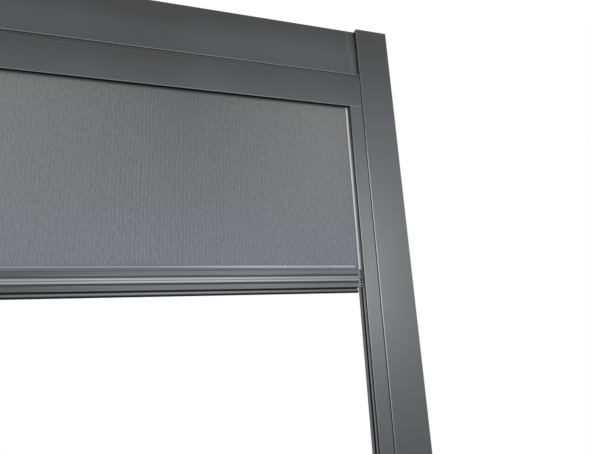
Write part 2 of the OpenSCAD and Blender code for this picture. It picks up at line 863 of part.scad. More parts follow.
module motor_rotor() {
    end_room = 3;
    color(steel) on_roller() {
        rod_x(stator_x0 + end_room, brake_x0 - end_room, rotor_d / 2);
        rod_x(stator_x0 - rotor_bearing_len + 1, brake_x0 + rotor_bearing_len - 1, rotor_shaft_d / 2);
    }
}

// Three planetary stages in ring-gear sleeves, closed by a nose flange
module gearbox() {
    stage_count = 3;
    joint_w = 1.5;
    color([0.5, 0.5, 0.52]) on_roller() difference() {
        union() {
            rod_x(gearbox_x0, stator_x0, core_r);
            rod_x(gearbox_x0 - gearbox_flange, gearbox_x0, motor_d / 2);
        }
        for (i = [1 : stage_count]) translate([gearbox_x0 + i * gearbox_len / (stage_count + 1), 0, 0])
            ring_x(0, joint_w, core_r + cut, core_r - 1);
        rod_x(stator_x0 - rotor_bearing_len, stator_x0 + cut, rotor_shaft_d / 2 + shaft_fit);
        rod_x(gearbox_x0 - gearbox_flange - cut, gearbox_x0 + shaft_in, pin_d / 2 + shaft_fit);
    }
}

// Round in the gearbox, hexagonal where the drive wheel sits, with a groove for the clip
module drive_shaft() {
    nose_x = gearbox_x0 - gearbox_flange;
    color(steel) on_roller() difference() {
        union() {
            rod_x(nose_x - wheel_gap, gearbox_x0 + shaft_in - 1, pin_d / 2);
            translate([shaft_x0, 0, 0]) rotate([0, 90, 0])
                cylinder(h = nose_x - wheel_gap - shaft_x0, d = pin_d, $fn = 6);
        }
        ring_x(wheel_x0 - clip_t - fit, wheel_x0, pin_d, pin_d / 2 - clip_groove - 0.8);
    }
}

// Wheel that takes the tube along by its key
module drive_wheel() {
    hole_count = 6;
    hole_r = 4.5;
    hole_at = (tube_in_r + pin_d / 2) / 2;
    color(black_plastic) on_roller() difference() {
        rod_x(wheel_x0, wheel_x1, tube_in_r - fit);
        translate([wheel_x0 - cut, 0, 0]) rotate([0, 90, 0])
            cylinder(h = wheel_len + 2 * cut, d = pin_d + 2 * fit, $fn = 6);
        for (i = [0 : hole_count - 1]) rotate([360 / hole_count * i, 0, 0])
            translate([0, hole_at, 0]) rod_x(wheel_x0 - cut, wheel_x1 + cut, hole_r);
        key_slot(wheel_x0, wheel_x1);
    }
}

module drive_clip() {
    bore_r = pin_d / 2 - clip_groove - 0.7;
    color(steel) on_roller() difference() {
        ring_x(wheel_x0 - clip_t, wheel_x0, pin_d / 2 + 3, bore_r);
        along_x(wheel_x0 - clip_t - cut, wheel_x0 + cut) rect(-bore_r * 0.8, 0, bore_r * 0.8, pin_d);
    }
}

// Ring that the tube turns, so that the limit switches count its turns
module limit_crown() {
    color([0.75, 0.75, 0.72]) on_roller() difference() {
        union() {
            rod_x(tube_x1 - crown_len, tube_x1, tube_in_r - fit);
            rod_x(tube_x1, tube_x1 + crown_flange_t, tube_r);
        }
        rod_x(tube_x1 - crown_len - cut, tube_x1 + crown_flange_t + cut, neck_r + fit);
        key_slot(tube_x1 - crown_len, tube_x1 - cut);
    }
}

module limit_button(side) {
    stem = button_deep - button_travel - 1;
    at_button(side) rotate([90, 0, 0]) translate([0, 0, button_flat - stem])
        cylinder(h = stem + button_proud, d = button_d);
}

module up_limit_button() { color("white") limit_button(1); }
module down_limit_button() { color("gold") limit_button(-1); }

// Guide rails, in (u, v)

module in_guide() {
    translate([guide_out_x, face_y]) mirror([1, 0]) children();
}

module guide_profile() {
    corner_r = 1.2;
    difference() {
        union() {
            rounded_rect(0, guide_split, guide_w, guide_d, corner_r);
            rect(0, guide_wall + slide_fit, guide_wall, guide_split + corner_r);
        }
        rect(guide_wall, guide_split + guide_wall, lip_u, guide_d - guide_wall);
        rect(lip_u - cut, mouth_v, guide_w + cut, mouth_v + mouth_w);
    }
}

module guide() {
    difference() {
        along_z(guide_z, cassette_z) in_guide() guide_profile();
        at_guide_screws() rod_x(guide_out_x - guide_wall - cut, guide_out_x + cut, guide_screw_d / 2 + fit);
    }
}

module left_guide() { color(anthracite) mirror([1, 0, 0]) guide(); }
module right_guide() { color(anthracite) guide(); }

// Front cover: face with a short edge beside the opening, a leg that snaps in behind the rail's side
// and a leg that rests on the rail at the bottom of the shadow gap
module guide_cover() {
    cover_w = guide_w - cover_step;
    snap_u = guide_wall + slide_fit;
    rest_u = cover_w - 10;
    leg_t = 1.4;
    along_z(guide_z, cassette_z) in_guide() {
        difference() {
            rounded_rect(0, 0, cover_w, guide_cover_d, 1.2);
            rect(-cut, guide_wall, cover_w - guide_wall, guide_cover_d + cut);
        }
        for (u = [snap_u, rest_u]) rect(u, guide_wall / 2, u + leg_t, guide_split - fit);
    }
}

module left_guide_cover() { color(anthracite) mirror([1, 0, 0]) guide_cover(); }
module right_guide_cover() { color(anthracite) guide_cover(); }

// Plastic channel: two arms that bear on the rail's lips, and a slotted wall between them
module zip_insert_profile() {
    v0 = fabric_setback - insert_w / 2;
    v1 = fabric_setback + insert_w / 2;
    difference() {
        rounded_rect(insert_u0, v0, insert_u1, v1, 1);
        rect(insert_u0 + insert_wall, v0 + insert_wall, slot_wall_u - insert_wall, v1 - insert_wall);
        rect(slot_wall_u, v0 + insert_wall, insert_u1 + cut, v1 - insert_wall);
        rect(slot_wall_u - insert_wall - cut, fabric_setback - zip_slot / 2,
            slot_wall_u + cut, fabric_setback + zip_slot / 2);
    }
}

insert_z0 = guide_z + foot_plug_h;
insert_z1 = cassette_z - funnel_len;

module zip_insert() {
    along_z(insert_z0, insert_z1) in_guide() zip_insert_profile();
}

module left_zip_insert() { color(black_plastic) mirror([1, 0, 0]) zip_insert(); }
module right_zip_insert() { color(black_plastic) zip_insert(); }

// Foam strips that let the zip channel give in the wind
module insert_cushions() {
    cushion_w = 14;
    color(graphite) both_sides() along_z(insert_z0, insert_z1) in_guide()
        rect(guide_wall, fabric_setback - cushion_w / 2, insert_u0, fabric_setback + cushion_w / 2);
}

module guide_gaskets() {
    gasket_v0 = guide_split + 2;
    gasket_v1 = guide_screw_v - guide_screw_d;
    color(black_plastic) both_sides() along_z(guide_z, cassette_z)
        translate([guide_out_x, face_y]) rect(0, gasket_v0, gasket_t, gasket_v1);
}

// Passage for the zip that narrows from the top of the funnel to the slot
module funnel_cut(half_top, half_low, u0, u1) {
    z0 = insert_z1 - cut;
    z1 = cassette_z + funnel_rise + cut;
    along_x(guide_out_x - u1, guide_out_x - u0) translate([fabric_y, 0]) polygon([
        [-half_low, z0],
        [half_low, z0],
        [half_top, z1],
        [-half_top, z1]
    ]);
}

funnel_rise = 8;
funnel_u1 = slot_wall_u;
plug_half = insert_w / 2;

module guide_funnels() {
    color(black_plastic) both_sides() difference() {
        along_z(insert_z1, cassette_z + funnel_rise) in_guide()
            rect(insert_u0, fabric_setback - plug_half, funnel_u1, fabric_setback + plug_half);
        funnel_cut(plug_half - 3, zip_d / 2 + 2, zip_u - zip_d / 2 - 2, zip_u + zip_d / 2 + 1);
        funnel_cut(plug_half - 4, zip_slot / 2, zip_u, funnel_u1 + cut);
    }
}

// Plug and plate that close the rail at the bottom and stop the zip channel
module guide_feet() {
    color(black_plastic) both_sides() {
        along_z(foot_z, guide_z) in_guide() rounded_rect(0, 0, guide_w, guide_d, 1.2);
        along_z(guide_z, insert_z0) in_guide()
            rect(insert_u0, fabric_setback - plug_half, funnel_u1, fabric_setback + plug_half);
    }
}

module guide_screws() {
    color(steel) both_sides() at_guide_screws() translate([guide_out_x - guide_wall, 0, 0])
        screw_x(guide_screw_d, guide_wall + gasket_t + post_wall + 5, 2 * guide_screw_d, 2.5);
}

// Screen

hem_half = bar_half - hem_short;

// One sheet, notched at its foot where the hem lies
module screen_fabric() {
    front = fabric_y - fabric_t / 2;
    color(screen_grey) difference() {
        along_z(bar_z + slide_fit, roll_z) rect(-fabric_half, front, fabric_half, front + fabric_t);
        translate([-hem_half - slide_fit, front - cut, bar_z - cut])
            cube([2 * (hem_half + slide_fit), fabric_t + 2 * cut, hem_neck_h + hem_d + slide_fit + cut]);
    }
}

// Welded tape with the coil of teeth that runs in the zip channel
module zip() {
    tape_y = fabric_y - fabric_t / 2;
    along_z(bar_z + 2, roll_z) {
        rect(guide_in_x - tape_show, tape_y - tape_t, zip_x, tape_y);
        translate([zip_x, fabric_y]) circle(d = zip_d);
    }
}

module left_zip() { color(tape_grey) mirror([1, 0, 0]) zip(); }
module right_zip() { color(tape_grey) zip(); }

// Bottom bar, in (v, w): v from the plane of the fabric and w up from the bar's top

module in_bar() {
    translate([fabric_y, bar_z]) children();
}

// Round hem on a neck, with the keder that slides into the bar's groove
module hem_keder() {
    color(screen_grey) along_x(-hem_half, hem_half) in_bar() {
        translate([0, hem_neck_h + hem_d / 2]) circle(d = hem_d);
        rect(-keder_neck / 2, -keder_deep, keder_neck / 2, hem_neck_h + hem_d / 2);
        translate([0, -keder_deep]) circle(d = keder_d);
    }
}

// Slot in one face of the bar for the strip's stem and foot
module strip_slot() {
    lip_v = strip_seat - bar_wall;
    rect(lip_v - cut, rib_mid - stem_h / 2 - fit, strip_seat + cut, rib_mid + stem_h / 2 + fit);
    rect(lip_v - stem_foot_t - 2 * fit, rib_mid - stem_foot_h / 2 - fit,
        lip_v, rib_mid + stem_foot_h / 2 + fit);
}

// Two bands with a recess between them on either side, slotted for the strips
module bottom_bar_profile() {
    half = bar_d / 2;
    difference() {
        union() {
            rounded_rect(-half, -bar_band_h, half, 0, bar_r);
            rounded_rect(-half, -bar_h, half, -bar_h + bar_band_h, bar_r);
            rect(-strip_seat, -bar_h + bar_r, strip_seat, -bar_r);
        }
        rect(-cavity_y / 2, -cavity_bottom, cavity_y / 2, -cavity_top);
        strip_slot();
        mirror([1, 0]) strip_slot();
        translate([0, -keder_deep]) circle(d = keder_d + 2 * slide_fit);
        rect(-keder_neck / 2 - slide_fit, -keder_deep, keder_neck / 2 + slide_fit, cut);
        rect(-seal_foot / 2 - fit, -bar_h + bar_wall, seal_foot / 2 + fit, -bar_h + bar_wall + seal_foot_h + fit);
        rect(-seal_neck / 2 - fit, -bar_h - cut, seal_neck / 2 + fit, -bar_h + bar_wall + cut);
    }
}

module bottom_bar() {
    color(anthracite) along_x(-bar_half, bar_half) in_bar() bottom_bar_profile();
}

// Strip with two ridges, pressed into the bar's face by a stem with a foot
module bar_strip_profile() {
    ridge_r = bar_rib_h / 4;
    ridge_v = bar_d / 2 - ridge_r + rib_proud;
    foot_v = strip_seat - bar_wall - fit;
    intersection() {
        union() {
            for (w = [rib_top - ridge_r, rib_top - 3 * ridge_r]) translate([ridge_v, w]) circle(ridge_r);
            rect(strip_seat, rib_mid - ridge_r, ridge_v + ridge_r / 2, rib_mid + ridge_r);
        }
        rect(strip_seat, rib_top - bar_rib_h, bar_d, rib_top);
    }
    rect(foot_v - stem_foot_t / 2, rib_mid - stem_h / 2, ridge_v, rib_mid + stem_h / 2);
    rect(foot_v - stem_foot_t, rib_mid - stem_foot_h / 2, foot_v, rib_mid + stem_foot_h / 2);
}

module bar_strips() {
    color(strip_grey) along_x(-bar_half, bar_half) in_bar() {
        bar_strip_profile();
        mirror([1, 0]) bar_strip_profile();
    }
}

// Flat steel that keeps the fabric taut
module bar_weight() {
    end_room = 60;
    top_room = 2;
    color(steel) along_x(-bar_half + end_room, bar_half - end_room) in_bar()
        rect(-weight_w / 2, -cavity_bottom, weight_w / 2, -cavity_top - top_room);
}

// End cap: flange, plug inside the bar and a tongue with windows that runs in the rail's mouth
module bar_end_caps() {
    plug_len = 30;
    tongue_end = 1.5;
    window_h = 5;
    window_edge = 2;
    rung_h = 3;
    plug_half_v = cavity_y / 2 - slide_fit;
    flange_x = bar_half + cap_flange_t;
    tongue_reach = guide_in_x + guide_wall + insert_recess - tongue_play;
    color(graphite) both_sides() {
        along_x(bar_half, flange_x) in_bar()
            rounded_rect(-bar_d / 2, -bar_h, bar_d / 2, 0, bar_r);
        along_x(bar_half - plug_len, bar_half) in_bar()
            rect(-plug_half_v, -cavity_bottom + slide_fit, plug_half_v, -cavity_top - slide_fit);
        difference() {
            along_x(flange_x, tongue_reach) in_bar()
                rounded_rect(-tongue_w / 2, -bar_h + tongue_end, tongue_w / 2, -tongue_end, 2);
            for (i = [0 : 2]) along_x(flange_x + window_edge, tongue_reach - window_edge) in_bar()
                translate([-bar_d / 2, -bar_h + tongue_end + rung_h + i * (window_h + rung_h)])
                    square([bar_d, window_h]);
        }
    }
}

// Rubber seal: foot in the bar's slot, neck and hollow bulb
module bar_seal() {
    bulb_wall = 1.6;
    bulb_w = -seal_neck_h - seal_h / 2;
    color(graphite) along_x(-bar_half, bar_half) in_bar() translate([0, -bar_h]) difference() {
        union() {
            rect(-seal_foot / 2, bar_wall, seal_foot / 2, bar_wall + seal_foot_h);
            rect(-seal_neck / 2, -seal_neck_h - bulb_wall / 2, seal_neck / 2, bar_wall + 1);
            translate([0, bulb_w]) circle(d = seal_h);
        }
        translate([0, bulb_w]) circle(d = seal_h - 2 * bulb_wall);
    }
}

left_post();
right_post();
post_caps();
post_bases();
base_screws();
top_beam();
beam_connectors();
connector_bolts();
cassette_back();
front_cover();
left_end_plate();
right_end_plate();
end_plate_screws();
cassette_screws();
slot_strip();
slot_brush();
cable_grommet();
roller_tube();
fabric_roll();
idler_plug();
idler_pin();
idler_bearing();
idler_bracket();
motor_bracket();
bracket_screws();
motor_head();
motor_tube();
limit_unit();
capacitor();
motor_brake();
motor_stator();
motor_rotor();
gearbox();
drive_shaft();
drive_wheel();
drive_clip();
limit_crown();
up_limit_button();
down_limit_button();
left_guide();
right_guide();
left_guide_cover();
right_guide_cover();
left_zip_insert();
right_zip_insert();
insert_cushions();
guide_gaskets();
guide_funnels();
guide_feet();
guide_screws();
screen_fabric();
left_zip();
right_zip();
hem_keder();
bottom_bar();
bar_strips();
bar_weight();
bar_end_caps();
bar_seal();
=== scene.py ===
import math
import random

import bmesh
import bpy
from mathutils import Matrix, Vector


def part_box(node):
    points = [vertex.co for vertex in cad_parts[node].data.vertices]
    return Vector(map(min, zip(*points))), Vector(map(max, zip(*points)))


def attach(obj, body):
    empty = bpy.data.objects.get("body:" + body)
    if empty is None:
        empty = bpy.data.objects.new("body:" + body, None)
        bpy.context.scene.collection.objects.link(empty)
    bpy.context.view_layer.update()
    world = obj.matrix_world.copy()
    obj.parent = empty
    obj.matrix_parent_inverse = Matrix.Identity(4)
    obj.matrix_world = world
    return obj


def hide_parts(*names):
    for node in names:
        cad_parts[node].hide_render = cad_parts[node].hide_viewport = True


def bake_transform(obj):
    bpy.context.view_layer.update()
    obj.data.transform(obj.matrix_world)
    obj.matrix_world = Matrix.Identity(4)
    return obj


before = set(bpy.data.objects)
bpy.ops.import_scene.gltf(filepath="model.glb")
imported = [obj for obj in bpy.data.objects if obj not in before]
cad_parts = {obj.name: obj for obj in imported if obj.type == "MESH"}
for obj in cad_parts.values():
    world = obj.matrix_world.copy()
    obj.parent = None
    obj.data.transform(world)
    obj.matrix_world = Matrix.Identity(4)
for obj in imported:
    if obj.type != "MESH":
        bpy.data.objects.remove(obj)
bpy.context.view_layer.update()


# Posts and caps: square extruded aluminium tubes with rounded corners, each closed by a flat cap.
# They are powder coated in fine-textured anthracite, a satin finish with a soft sheen, which has
# picked up dust and hand marks. A painted highlight lies on its edges, and painted light and shade run up it.

class Wire:
    """A shader socket that takes part in sums, and the one way to add any other node."""

    def __init__(self, tree, socket=None):
        self.tree, self.socket = tree, socket

    def node(self, kind, settings=None, sockets=None, out=0):
        made = self.tree.nodes.new("ShaderNode" + kind)
        for key, value in (settings or {}).items():
            setattr(made, key, value)
        for key, value in (sockets or {}).items():
            if isinstance(value, Wire):
                self.tree.links.new(value.socket, made.inputs[key])
            else:
                made.inputs[key].default_value = value
        return Wire(self.tree, made.outputs[out])

    def maths(self, operation, *values):
        return self.node("Math", {"operation": operation}, dict(enumerate(values)))

    def __add__(self, other):
        return self.maths("ADD", self, other)

    def __sub__(self, other):
        return self.maths("SUBTRACT", self, other)

    def __rsub__(self, other):
        return self.maths("SUBTRACT", other, self)

    def __mul__(self, other):
        return self.maths("MULTIPLY", self, other)

    def __gt__(self, other):
        return self.maths("GREATER_THAN", self, other)

    def __lt__(self, other):
        return self.maths("LESS_THAN", self, other)

    __radd__, __rmul__ = __add__, __mul__


def finish(sockets_of):
    """A material named after the function, whose shader gets the values and wires it returns."""
    material = bpy.data.materials.new(sockets_of.__name__)
    material.use_nodes = True
    tree = material.node_tree
    shader = tree.nodes["Principled BSDF"]
    for key, value in sockets_of(Wire(tree)).items():
        if isinstance(value, Wire):
            tree.links.new(value.socket, shader.inputs[key])
        else:
            shader.inputs[key].default_value = value
    return material


def tone(red, green, blue):
    """A colour given as it looks on screen, from 0 to 255, as the linear colour that shaders take."""
    shares = [c / 255 for c in (red, green, blue)]
    return (*[c / 12.92 if c <= 0.04045 else ((c + 0.055) / 1.055) ** 2.4 for c in shares], 1.0)


def place_on(start, per_metre=(1, 1, 1)):
    """Where a point lies on its piece at rest, in metres times the given counts."""
    place = start.node("TexCoord", out="Object")
    return start.node("VectorMath", {"operation": "MULTIPLY"}, {0: place, 1: per_metre})


def cloud(start, per_metre, detail=2.0):
    """Soft random patches, so many to the metre along each axis."""
    place = place_on(start, per_metre)
    return start.node("TexNoise", {}, {"Vector": place, "Scale": 1.0, "Detail": detail})


def cells(start, per_metre, out="Distance"):
    """Random cells, so many to the metre every way: distance to the middle, or its place or colour."""
    place = place_on(start, (per_metre, per_metre, per_metre))
    return start.node("TexVoronoi", {}, {"Vector": place, "Scale": 1.0}, out=out)


def between(value, low, high, first=0.0, last=1.0):
    """A value's range from low to high as a range from first to last, held at both ends."""
    limits = {"Value": value, 1: low, 2: high, 3: first, 4: last}
    return value.node("MapRange", {}, limits)


def mixed(share, first, second):
    return share.node("Mix", {"data_type": "RGBA"}, {0: share, 6: first, 7: second}, out=2)


def relief(height, depth, strength):
    """The normal of a surface with bumps that are so deep, in metres."""
    return height.node("Bump", {}, {"Height": height, "Distance": depth, "Strength": strength})


def sharp_edges(start, width):
    """1 along the sharp edges of a piece and 0 on its faces."""
    softened = start.node("Bevel", {"samples": 4}, {"Radius": width})
    facing = start.node("NewGeometry", out="Normal")
    match = start.node("VectorMath", {"operation": "DOT_PRODUCT"}, {0: softened, 1: facing}, out="Value")
    return between(match, 0.995, 0.85)


def rounded_corners(start):
    """1 on the rounded corners between the level and upright faces of a piece and 0 on those faces."""
    facing = start.node("TexCoord", out="Normal")
    either_way = start.node("VectorMath", {"operation": "ABSOLUTE"}, {0: facing})
    x, y, z = (start.node("SeparateXYZ", {}, {0: either_way}, out=axis) for axis in "XYZ")
    return between(x.maths("MAXIMUM", x, y.maths("MAXIMUM", y, z)), 0.99, 0.93)


def dress(material, *nodes):
    for name in nodes:
        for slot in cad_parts[name].material_slots:
            slot.material = material


coat_edge = 0.0012
# A near black that is painted as shade in gaps, recesses and windows.
shade_black = tone(6, 6, 7)


def satin_coat(start, edge_highlight, painted_lightness=0.5):
    """The sockets of the coat, which painted light and shade run from dark where the third argument is 0 to
    pale where it is 1, with a painted highlight along the edges as strong as the second.
    """
    grain = cloud(start, (900, 900, 900))
    marks = cloud(start, (3, 3, 2), 4.0)
    dust_cells = cells(start, 70)
    picked = start.node("TexWhiteNoise", {}, {"Vector": cells(start, 70, "Position")})
    specks = (dust_cells < 0.07) * (picked > 0.985)
    # Painted highlight: the sharp edges and rounded corners are mixed towards a pale tone.
    edges = sharp_edges(start, coat_edge) + rounded_corners(start)
    coat = mixed(between(marks, 0.3, 0.7, -0.06, 0.06) + painted_lightness, tone(9, 10, 8), tone(65, 69, 73))
    highlighted = mixed(edges * edge_highlight, coat, tone(214, 216, 218))
    return {
        "Base Color": mixed(specks * 0.6, highlighted, tone(150, 151, 150)),
        "Roughness": between(marks, 0.25, 0.75, 0.33, 0.4),
        "Specular IOR Level": 0.7,
        "Normal": relief(grain, 0.00012, 0.5),
    }


def along(start, axis):
    """Where a point lies along one axis, in metres."""
    return start.node("SeparateXYZ", {}, {0: place_on(start)}, out=axis)


def distance(value, mark):
    return value.maths("ABSOLUTE", value - mark)


def painted_light_on_uprights(up):
    """Painted light and shade up the uprights: darker towards the tops and feet, and palest a little above
    head height.
    """
    below_top = between(up, 2.56, 2.24, 0.02, 0.7)
    below_head = between(up, 2.1, 1.9, 0.0, 0.18)
    near_foot = between(up, 1.25, 1.05, 0.0, 0.3)
    return below_top - below_head - near_foot


def highlight_on_uprights(up):
    """How strong the painted highlight on the edges is, strongest at about shoulder height."""
    return between(up, 2.22, 2.08, 0.14, 0.6) * between(up, 1.25, 1.6, 0.3, 1.0)


post_corner = 0.003
post_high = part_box("right_post")[1]


@finish
def post_coat(start):
    up = along(start, "Z")
    facing = start.node("SeparateXYZ", {}, {0: start.node("TexCoord", out="Normal")}, out="Y")
    # Painted highlight on the front half of the rounded corners and painted light and shade up the post;
    # painted shade, near black, on the half of the corners that faces aside.
    to_front = between(distance(facing, 0.0), 0.4, 0.55)
    sockets = satin_coat(start, highlight_on_uprights(up) * to_front, painted_light_on_uprights(up))
    beside_front = (1 - to_front) * (distance(along(start, "Y"), 0.0) > post_high.y - post_corner)
    sockets["Base Color"] = mixed(beside_front, sockets["Base Color"], shade_black)
    return sockets


dress(post_coat, "left_post", "right_post", "post_caps")


# Floor plates: steel plates with a welded socket that the post slides over, hot-dip galvanised.
# The zinc has set in flat crystals of different greys.

@finish
def zinc_plate(start):
    shade = start.node("SeparateColor", {}, {0: cells(start, 110, "Color")})
    haze = cloud(start, (40, 40, 40), 5.0)
    return {
        "Base Color": mixed(shade * 0.7 + haze * 0.3, tone(150, 154, 158), tone(196, 200, 204)),
        "Metallic": 1.0,
        "Roughness": between(shade + haze, 0.3, 1.7, 0.34, 0.6),
        "Normal": relief(haze, 0.0002, 0.3),
    }


dress(zinc_plate, "post_bases", "beam_connectors", "connector_bolts")


# Screws of the floor plates: button heads of bright steel with a hexagon socket. Two go through the
# back of each post into the socket inside it.

@finish
def bright_steel(start):
    turned_lines = cloud(start, (1500, 250, 1500), 3.0)
    stain = cloud(start, (60, 60, 60), 3.0)
    return {
        "Base Color": mixed(stain, tone(168, 170, 172), tone(200, 201, 202)),
        "Metallic": 1.0,
        "Roughness": between(turned_lines, 0.2, 0.8, 0.22, 0.42),
        "Normal": relief(turned_lines, 0.00004, 0.4),
    }


def build(name, shape, material, sharp_over=35):
    """A piece of the object, smooth apart from edges that turn by more than sharp_over degrees."""
    mesh = bpy.data.meshes.new(name)
    bmesh.ops.recalc_face_normals(shape, faces=shape.faces)
    shape.to_mesh(mesh)
    shape.free()
    mesh.materials.append(material)
    mesh.shade_smooth()
    mesh.set_sharp_from_angle(angle=math.radians(sharp_over))
    made = bpy.data.objects.new(name, mesh)
    bpy.context.scene.collection.objects.link(made)
    return made


def skin(shape, rings):
    """Faces between rings of as many points each."""
    made = [[shape.verts.new(point) for point in ring] for ring in rings]
    count = len(made[0])
    for ring, after in zip(made, made[1:]):
        for i in range(count):
            j = (i + 1) % count
            shape.faces.new((ring[i], ring[j], after[j], after[i]))
    return made


def hexagon(angle, across):
    """How far the wall of a hexagon socket lies from its middle."""
    return across / 2 / math.cos((angle + math.pi / 6) % (math.pi / 3) - math.pi / 6)


def cross_slot(angle, length):
    """How far the wall of a cross recess lies from its middle."""
    arm_half = 0.17 * length
    turned = abs((angle + math.pi / 4) % (math.pi / 2) - math.pi / 4)
    at_end = math.tan(turned) < 2 * arm_half / length
    return length / 2 / math.cos(turned) if at_end else arm_half / math.sin(turned)


def screw_head(shape, seat, out, head_d, head_h, drive, drive_size):
    """A domed head standing on a seat, with the recess of its drive sunk into it."""
    steps = 48
    angles = [2 * math.pi * i / steps for i in range(steps)]
    turn = Vector((0, 0, 1)).rotation_difference(Vector(out)).to_matrix()
    dome = [(1.0, 0.0), (1.0, 0.3), (0.95, 0.62), (0.82, 0.86), (0.62, 1.0)]
    drive_floor = 0.35

    def ring(radius_of, height):
        flat = [Vector((math.cos(a), math.sin(a), 0)) * radius_of(a) for a in angles]
        return [Vector(seat) + turn @ (point + Vector((0, 0, height))) for point in flat]

    rings = [ring(lambda a, r=r: r * head_d / 2, h * head_h) for r, h in dome]
    rings += [ring(lambda a: drive(a, drive_size), h * head_h) for h in (1.0, drive_floor)]
    made = skin(shape, rings)
    for ends in (made[0], made[-1]):
        shape.faces.new(ends)


def screws(name, node, heads):
    """One piece with the heads of a node's screws, each given as screw_head takes it."""
    shape = bmesh.new()
    for head in heads:
        screw_head(shape, *head)
    made = build(name, shape, bright_steel)
    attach(made, "frame")
    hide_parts(node)


base_low, base_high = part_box("base_screws")
base_head_d = base_high.z - base_low.z
base_head_h = 0.003
base_hexagon = 0.004
base_spacing = 0.06
base_x = [side * (base_high.x - base_head_d / 2 - inward) for side in (-1, 1) for inward in (0, base_spacing)]
screws("base_screw_heads", "base_screws", [
    ((x, base_high.y - base_head_h, (base_low.z + base_high.z) / 2), (0, 1, 0), base_head_d, base_head_h,
     hexagon, base_hexagon) for x in base_x])


# Top beam: a box section in the same coat, carried at each end by a plate and tongues inside it. A
# faint scuff runs up its face near the right end.

def shaded_middle(start):
    """How much painted shade darkens the coat near the middle of the bay."""
    return between(distance(along(start, "X"), -0.1), 0.04, 0.2, 0.17, 0.0)


@finish
def beam_coat(start):
    up = along(start, "Z")
    # Painted shade darkens the coat towards the top of the beam and near the middle of the bay.
    sockets = satin_coat(start, 0.15, between(up, 2.5, 2.58, 0.42, 0.0) - shaded_middle(start))
    wander = between(up, 2.53, 2.51, 0.569, 0.576)
    scuff = between(distance(along(start, "X"), wander), 0.001, 0.006, 0.08, 0.0)
    sockets["Base Color"] = mixed(scuff, sockets["Base Color"], tone(150, 151, 152))
    return sockets


dress(beam_coat, "top_beam")


# Cassette: an extruded back with a rounded nose, a front cover that hangs from it by a bead, and
# two cast end plates. Coated like the frame; the castings are darker and slightly sandy.

@finish
def cast_coat(start):
    sand = cloud(start, (1100, 1100, 1100), 3.0)
    patch = cloud(start, (25, 25, 25), 3.0)
    worn_and_lit = sharp_edges(start, 0.001)
    coat = mixed(patch, tone(60, 62, 64), tone(74, 76, 78))
    return {
        "Base Color": mixed(worn_and_lit * 0.7, coat, tone(160, 162, 164)),
        "Roughness": between(sand, 0.3, 0.7, 0.46, 0.62),
        "Normal": relief(sand, 0.00025, 0.6),
    }


cover_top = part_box("front_cover")[1].z
band_h = 0.0154
band_foot = cover_top - band_h
joint_h = 0.0005
fade = 0.001
nose_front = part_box("cassette_back")[0].y
nose_lip = 0.004
nose_depth = 0.012


@finish
def cover_coat(start):
    up = along(start, "Z")
    on_band = between(up, band_foot, band_foot + fade)
    # Painted shade darkens the cover towards its top, further on the band below the nose and near the middle
    # of the bay, and the band has no painted highlight on its edges.
    painted_lightness = between(up, 2.3, 2.4, 0.58, 0.16) - 0.06 * on_band - shaded_middle(start)
    return satin_coat(start, 0.2 - 0.2 * on_band, painted_lightness)


@finish
def nose_coat(start):
    sockets = satin_coat(start, 0.2)
    # Painted shade darkens the joint under the nose, and a painted highlight lies on the nose's front lip
    # above it.
    above_joint = between(along(start, "Z"), cover_top + joint_h, cover_top + joint_h + fade)
    behind_front = along(start, "Y") - nose_front
    in_joint = (1 - above_joint) * (behind_front < nose_depth)
    shaded = mixed(in_joint, sockets["Base Color"], tone(48, 49, 50))
    highlighted = (behind_front < nose_lip) * above_joint * 0.35
    sockets["Base Color"] = mixed(highlighted, shaded, tone(150, 151, 152))
    return sockets


dress(nose_coat, "cassette_back")
dress(cover_coat, "front_cover")
dress(cast_coat, "left_end_plate", "right_end_plate", "idler_bracket", "motor_bracket")
dress(bright_steel, "end_plate_screws")

roof_low, roof_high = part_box("cassette_screws")
roof_d = roof_high.y - roof_low.y
roof_h = 0.0025
roof_cross = 0.0045
roof_x = [share * (roof_high.x - roof_d / 2) for share in (-1, -0.375, 0.375, 1)]
screws("cassette_screw_heads", "cassette_screws", [
    ((x, (roof_low.y + roof_high.y) / 2, roof_low.z + roof_h), (0, 0, -1), roof_d, roof_h,
     cross_slot, roof_cross) for x in roof_x])


# Slot: a black flocked strip let into the cover's underside keeps the cloth from rubbing on metal, and is
# made near black and dull so that it also stands for the shade there; a brush of nylon bristles crimped in
# a folded strip leans on the cloth's back as it winds.

@finish
def black_nylon(start):
    strands = cloud(start, (700, 60, 60), 3.0)
    return {
        "Base Color": mixed(strands, tone(24, 24, 25), tone(52, 52, 53)),
        "Roughness": between(strands, 0.2, 0.8, 0.42, 0.62),
        "Sheen Weight": 0.2,
    }


@finish
def black_flock_and_shade(start):
    pile = cloud(start, (2500, 2500, 2500))
    # Near black and dull: the flock's black, made so that it also stands for the shade under the cover.
    return {
        "Base Color": mixed(pile, tone(10, 10, 11), tone(28, 28, 29)),
        "Roughness": 0.95,
        "Specular IOR Level": 0.05,
        "Normal": relief(pile, 0.0002, 0.8),
    }


